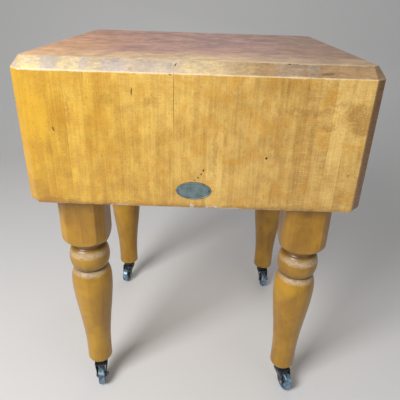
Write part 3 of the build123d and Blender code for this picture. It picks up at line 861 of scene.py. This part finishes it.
def makeLegMaterial():
    # glossy amber, darker on the square part as a painted shadow of the block and a darker varnish: soft
    # streaks and clouds, brown smudges, crackled pale wear and painted highlight on the crowns with specks of
    # dirt in it, and soil and painted shade in the hollows
    material, shader, place, noises = newMaterial("varnishedLegMaple", legFinish)
    wear, soilAndShade, seed, board, tone = attributes(place, "wear", "soilAndShade", "seed", "board", "tone")
    ownSeed = timesPlus(spread(board, 0, 1, 0.49, 0.51), 0.37, seed)
    grain = useGroup(woodGrain, place, ownSeed, legFinish["ringSpacing"])
    # painted shadow of the block over the square part, with a darker varnish there: darker and less warm
    # towards the top
    shadeAndDarkerVarnish = spread(split(place)["Z"], 0, 0.18, 0.5, 0.6)
    lightness = layered(minus(spread(tone, 0.4, 0.64, 0, 1), shadeAndDarkerVarnish), (
        (grain["Rings"], 0.08), (grain["Fibres"], 0.04), (grain["Mottle"], 0.12), (noises.cloud, 0.1)))
    surface = blend(lightness, legFinish["dark"], legFinish["light"])
    glowing = plus(spread(noises.warmth, 0, 0.5, 0.45, 0.7), spread(tone, 0, 0.5, 0.5, 0.9))
    surface = blend(minus(glowing, shadeAndDarkerVarnish), surface, legFinish["glow"])
    seam = times(times(board, minus(1, board)), 4)
    surface = blend(times(spread(seam, 0, 1, 0.7, 1), 0.12), surface, legFinish["soilAndShade"])
    surface = blend(times(grain["Pores"], 0.08), surface, legFinish["soilAndShade"])
    smudged = times(stain(place, 17, 0.64, 0.1), spread(noises.flecks, 0.05, 0.6, 0.42, 0.64))
    surface = blend(smudged, surface, legFinish["brown"])
    crackle = spread(noises.crackle, 0.35, 1, 0.36, 0.62)
    patches = times(crackle, spread(noises.patches, 0.4, 1, 0.38, 0.58))
    # crackled pale wear on the crowns, which is also a painted highlight and sheen there
    wornAndHighlight = times(times(rubbedOff(place, wear, 420, 0.8), crackle), 0.45)
    wornAndHighlight = larger(wornAndHighlight, times(spread(wear, 0, 0.85, 0.12, 0.62), patches))
    surface = blend(wornAndHighlight, surface, legFinish["wornAndHighlight"])
    dirt = times(spread(wear, 0, 0.55, 0.1, 0.45), spread(noises.flecks, 0, 1, 0.56, 0.66))
    # dirt in the hollows, and painted shade on the bead's underside
    surface = blend(larger(times(soilAndShade, 0.85), dirt), surface, legFinish["soilAndShade"])
    roughness = timesPlus(grain["Mottle"], 0.2, timesPlus(wornAndHighlight, 0.3, 0.3), clamp=True)
    height = timesPlus(wornAndHighlight, -0.25, timesPlus(grain["Fibres"], 0.1, times(noises.swell, 0.7)))
    feed(shader, {"Base Color": surface, "Roughness": roughness, "Normal": bumpOf(height, 0.35, 0.0014),
                  "Coat Weight": timesPlus(wornAndHighlight, -0.4, legFinish["sockets"]["Coat Weight"], clamp=True)})
    return material


legMaterial = makeLegMaterial()
for number, cornerName in enumerate(leg["boardTones"]):
    makeLeg(cornerName, number, legMaterial)
print("legs: four, turned and chamfered")


plate = dict(
    rimWidth=0.0026, rimHeight=0.0005, thickness=0.0012, edgeRound=0.0002,
    innerLine=0.0042, innerLineDepth=0.00018, innerLineWidth=0.00028,
    around=96,
    rimLoops=8,
    innerLoops=(0.0036, 0.0039, 0.0042, 0.0045, 0.0048, 0.008, 0.013, 0.018),  # how far in from the edge
    edgeShadowReach=0.0007,  # how far a painted shadow lies along the edge
    dark=(0.11, 0.15, 0.155), light=(0.23, 0.31, 0.315), rub=(0.42, 0.5, 0.5),
    # the first colour on the next line is dirt in the fine line and a painted shadow along the edge
    soilAndShade=(0.022, 0.03, 0.03), sockets={"Metallic": 0.75},
    noises=dict(cloud=(70, 4, 0.6), grit=(900, 2, 0.7), brushed=((120, 1, 900), 2)),
)


def makePlate(material):
    # loops of an ellipse drawn in towards the middle, raised
    # by a rounded rim and lowered by a fine line inside it
    low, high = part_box("oval_plate")
    rimWidth = plate["rimWidth"]
    onRim = np.linspace(0.0005, rimWidth, plate["rimLoops"])
    inward = np.concatenate([[0, 0, plate["edgeRound"]], onRim, plate["innerLoops"]])
    rim = np.clip(1 - np.abs(inward - rimWidth / 2) / (rimWidth / 2), 0, 1)
    line = np.exp(-((inward - plate["innerLine"]) / plate["innerLineWidth"]) ** 2)
    relief = plate["rimHeight"] * np.sqrt(rim * (2 - rim)) - plate["innerLineDepth"] * line
    stand = plate["thickness"] + relief
    stand[:2] = 0, plate["thickness"] - plate["edgeRound"]
    angles = np.linspace(0, 2 * math.pi, plate["around"], endpoint=False)
    x = (high[0] + low[0]) / 2 + ((high[0] - low[0]) / 2 - inward[:, None]) * np.cos(angles)
    z = (high[2] + low[2]) / 2 + ((high[2] - low[2]) / 2 - inward[:, None]) * np.sin(angles)
    # dirt in the fine line, and a painted shadow along the plate's edge
    soilAndShade = np.maximum(line, np.clip(1 - inward / plate["edgeShadowReach"], 0, 1))
    addPiece("ovalPlate", (x, (high[1] - stand)[:, None], z), closedLoops(len(inward), plate["around"]),
             {"wear": rim[:, None], "soilAndShade": soilAndShade[:, None]}, "oval_plate", material)


def makePlateMaterial():
    # tarnished metal: softly clouded, dark in the line inside the rim and rubbed bright on the rim, with a
    # painted shadow along its edge
    material, shader, place, noises = newMaterial("tarnishedPlate", plate)
    wear, soilAndShade = attributes(place, "wear", "soilAndShade")
    tarnish = layered(spread(noises.cloud, 0.15, 0.85, 0.32, 0.68), [(noises.grit, 0.14)])
    surface = blend(tarnish, plate["dark"], plate["light"])
    surface = blend(times(spread(noises.brushed, 0, 1, 0.5, 0.75), 0.2), surface, plate["rub"])
    surface = blend(times(rubbedOff(place, wear, 700, 0.3), 0.45), surface, plate["rub"])
    surface = blend(times(soilAndShade, 0.8), surface, plate["soilAndShade"])
    roughness = timesPlus(soilAndShade, 0.2, spread(noises.cloud, 0.38, 0.56, 0.3, 0.7))
    bump = bumpOf(noises.cloud, 0.3, 0.0002)
    feed(shader, {"Base Color": surface, "Roughness": roughness, "Normal": bump})
    return material


makePlate(makePlateMaterial())
print("plate: bare, with a rolled rim")


casterFinish = dict(
    paint=dict(dark=(0.009, 0.01, 0.013), light=(0.034, 0.039, 0.048), bare=(0.3, 0.33, 0.37),
        sockets={"Metallic": 0.3}),
    wheel=dict(dark=(0.075, 0.115, 0.155), light=(0.31, 0.45, 0.58), bare=(0.62, 0.68, 0.74),
        sockets={"Metallic": 0.7}),
    bright=dict(dark=(0.1, 0.1, 0.1), light=(0.36, 0.37, 0.38), bare=(0.6, 0.61, 0.62),
        sockets={"Metallic": 0.85}),
    roughnessSwing=(-0.08, 0.14),  # how far tarnish makes each smoother or rougher
    dust=(0.24, 0.21, 0.18),
    noises=dict(cloud=(95, 5, 0.65), scratches=((260, 900, 1400), 2, 0.6)),
    # the material of each slot: name, finish and roughness
    slots=dict(
        dark_steel=("japannedSteel", "paint", 0.34), wheel_metal=("wornWheelIron", "wheel", 0.36),
        plated_steel=("dullZincSteel", "bright", 0.4), bearing_steel=("ballSteel", "bright", 0.22),
        nail_metal=("dullNailSteel", "bright", 0.48),
    ),
)


def makeSteel(name, finishName, roughness):
    # painted or bare steel: cloudy tarnish, fine scratches rubbed bright, and dusty patches
    finish = {**casterFinish, **casterFinish[finishName]}
    material, shader, place, noises = newMaterial(name, finish)
    cloud, scratches = noises.cloud, noises.scratches
    smoother, rougher = finish["roughnessSwing"]
    surface = blend(spread(cloud, 0, 1, 0.36, 0.66), finish["dark"], finish["light"])
    surface = blend(spread(scratches, 0, 0.55, 0.6, 0.76), surface, finish["bare"])
    surface = blend(times(stain(place, 120, 0.6, 0.08), 0.25), surface, finish["dust"])
    feed(shader, {"Base Color": surface,
                  "Roughness": spread(cloud, roughness + smoother, roughness + rougher, 0.3, 0.7),
                  "Normal": bumpOf(timesPlus(scratches, 0.3, cloud), 0.25, 0.0003)})
    return material


steels = {slotName: makeSteel(*recipe) for slotName, recipe in casterFinish["slots"].items()}
for part in frame["record"]["subparts"]:
    if part["material_slot"] in steels:
        slots = frame["nodes"][part["node"]].data.materials
        slots.clear()
        slots.append(steels[part["material_slot"]])
print("casters: steel finishes")


room = dict(
    sockets={"Base Color": (0.78, 0.77, 0.76, 1.0), "Roughness": 0.75, "Specular IOR Level": 0.2},
    noises=dict(),
    reach=6.0, wallAt=3.2, sweep=1.6, height=5.0,
    worldColour=(0.95, 0.97, 1.0), worldStrength=0.23,
    # each lamp: place, what it looks at, width, watts
    lamps=dict(
        keyLamp=((-1.45, -1.9, 2.1), (0.0, -0.25, 0.7), 1.2, 77.0),
        fillLamp=((1.7, -2.1, 1.1), (0.0, 0.0, 0.5), 1.6, 6.0),
        rimLamp=((0.4, 2.0, 2.2), (0.0, 0.1, 0.8), 1.6, 8.0),
    ),
)


def makeRoom():
    # one sheet: level floor, a quarter-round sweep behind, then an upright wall
    turn = np.linspace(0, math.pi / 2, 25)
    bend = room["wallAt"] - room["sweep"] + room["sweep"] * np.sin(turn)
    y = np.concatenate([[-room["reach"]], bend, [room["wallAt"]]])
    z = np.concatenate([[0.0], room["sweep"] * (1 - np.cos(turn)), [room["height"]]])
    points = [(x, away, up) for away, up in zip(y, z) for x in (-room["reach"], room["reach"])]
    start = np.arange(len(y) - 1)[:, None] * 2
    mesh = bpy.data.meshes.new("studioSweep")
    mesh.from_pydata(points, [], (start + np.array([0, 1, 3, 2])).tolist())
    mesh.polygons.foreach_set("use_smooth", np.ones(len(start), bool))
    sweep = addObject("studioSweep", mesh)
    mesh.materials.append(newMaterial("paleSweep", room)[0])


def aim(place, target):
    # a matrix that stands at place and looks at target
    away = (Vector(place) - Vector(target)).normalized()
    return Matrix.Translation(place) @ away.to_track_quat("Z", "Y").to_matrix().to_4x4()


def makeLamps():
    # three soft square lamps and an even sky
    for name, (place, target, width, watts) in room["lamps"].items():
        lamp = bpy.data.lights.new(name, "AREA")
        lamp.size = width
        lamp.energy = watts
        addObject(name, lamp).matrix_world = aim(place, target)
    world = bpy.data.worlds.new("softSky")
    world.use_nodes = True
    sky = world.node_tree.nodes["Background"]
    sky.inputs["Color"].default_value = (*room["worldColour"], 1.0)
    sky.inputs["Strength"].default_value = room["worldStrength"]
    bpy.context.scene.world = world


# place in metres, turns in degrees, and the focal length in image widths
camera = dict(place=(0.018, -1.195, 1.091), yaw=-0.33, down=26.3, roll=1.78, focal=1.03875)


def makeCamera():
    # turned from looking along +Y: yaw about Z, then down, then rolled about its own line of sight
    yaw, down, roll = (math.radians(camera[key]) for key in ("yaw", "down", "roll"))
    lens = bpy.data.cameras.new("camera")
    lens.sensor_width = 36.0
    lens.lens = camera["focal"] * lens.sensor_width
    holder = addObject("camera", lens)
    holder.matrix_world = (Matrix.Translation(camera["place"]) @ Matrix.Rotation(-yaw, 4, "Z")
                           @ Matrix.Rotation(math.pi / 2 - down, 4, "X") @ Matrix.Rotation(roll, 4, "Z"))
    bpy.context.scene.camera = holder


makeRoom()
makeLamps()
makeCamera()
bpy.context.scene.view_settings.view_transform = "Standard"
print("room, lamps and camera in place")
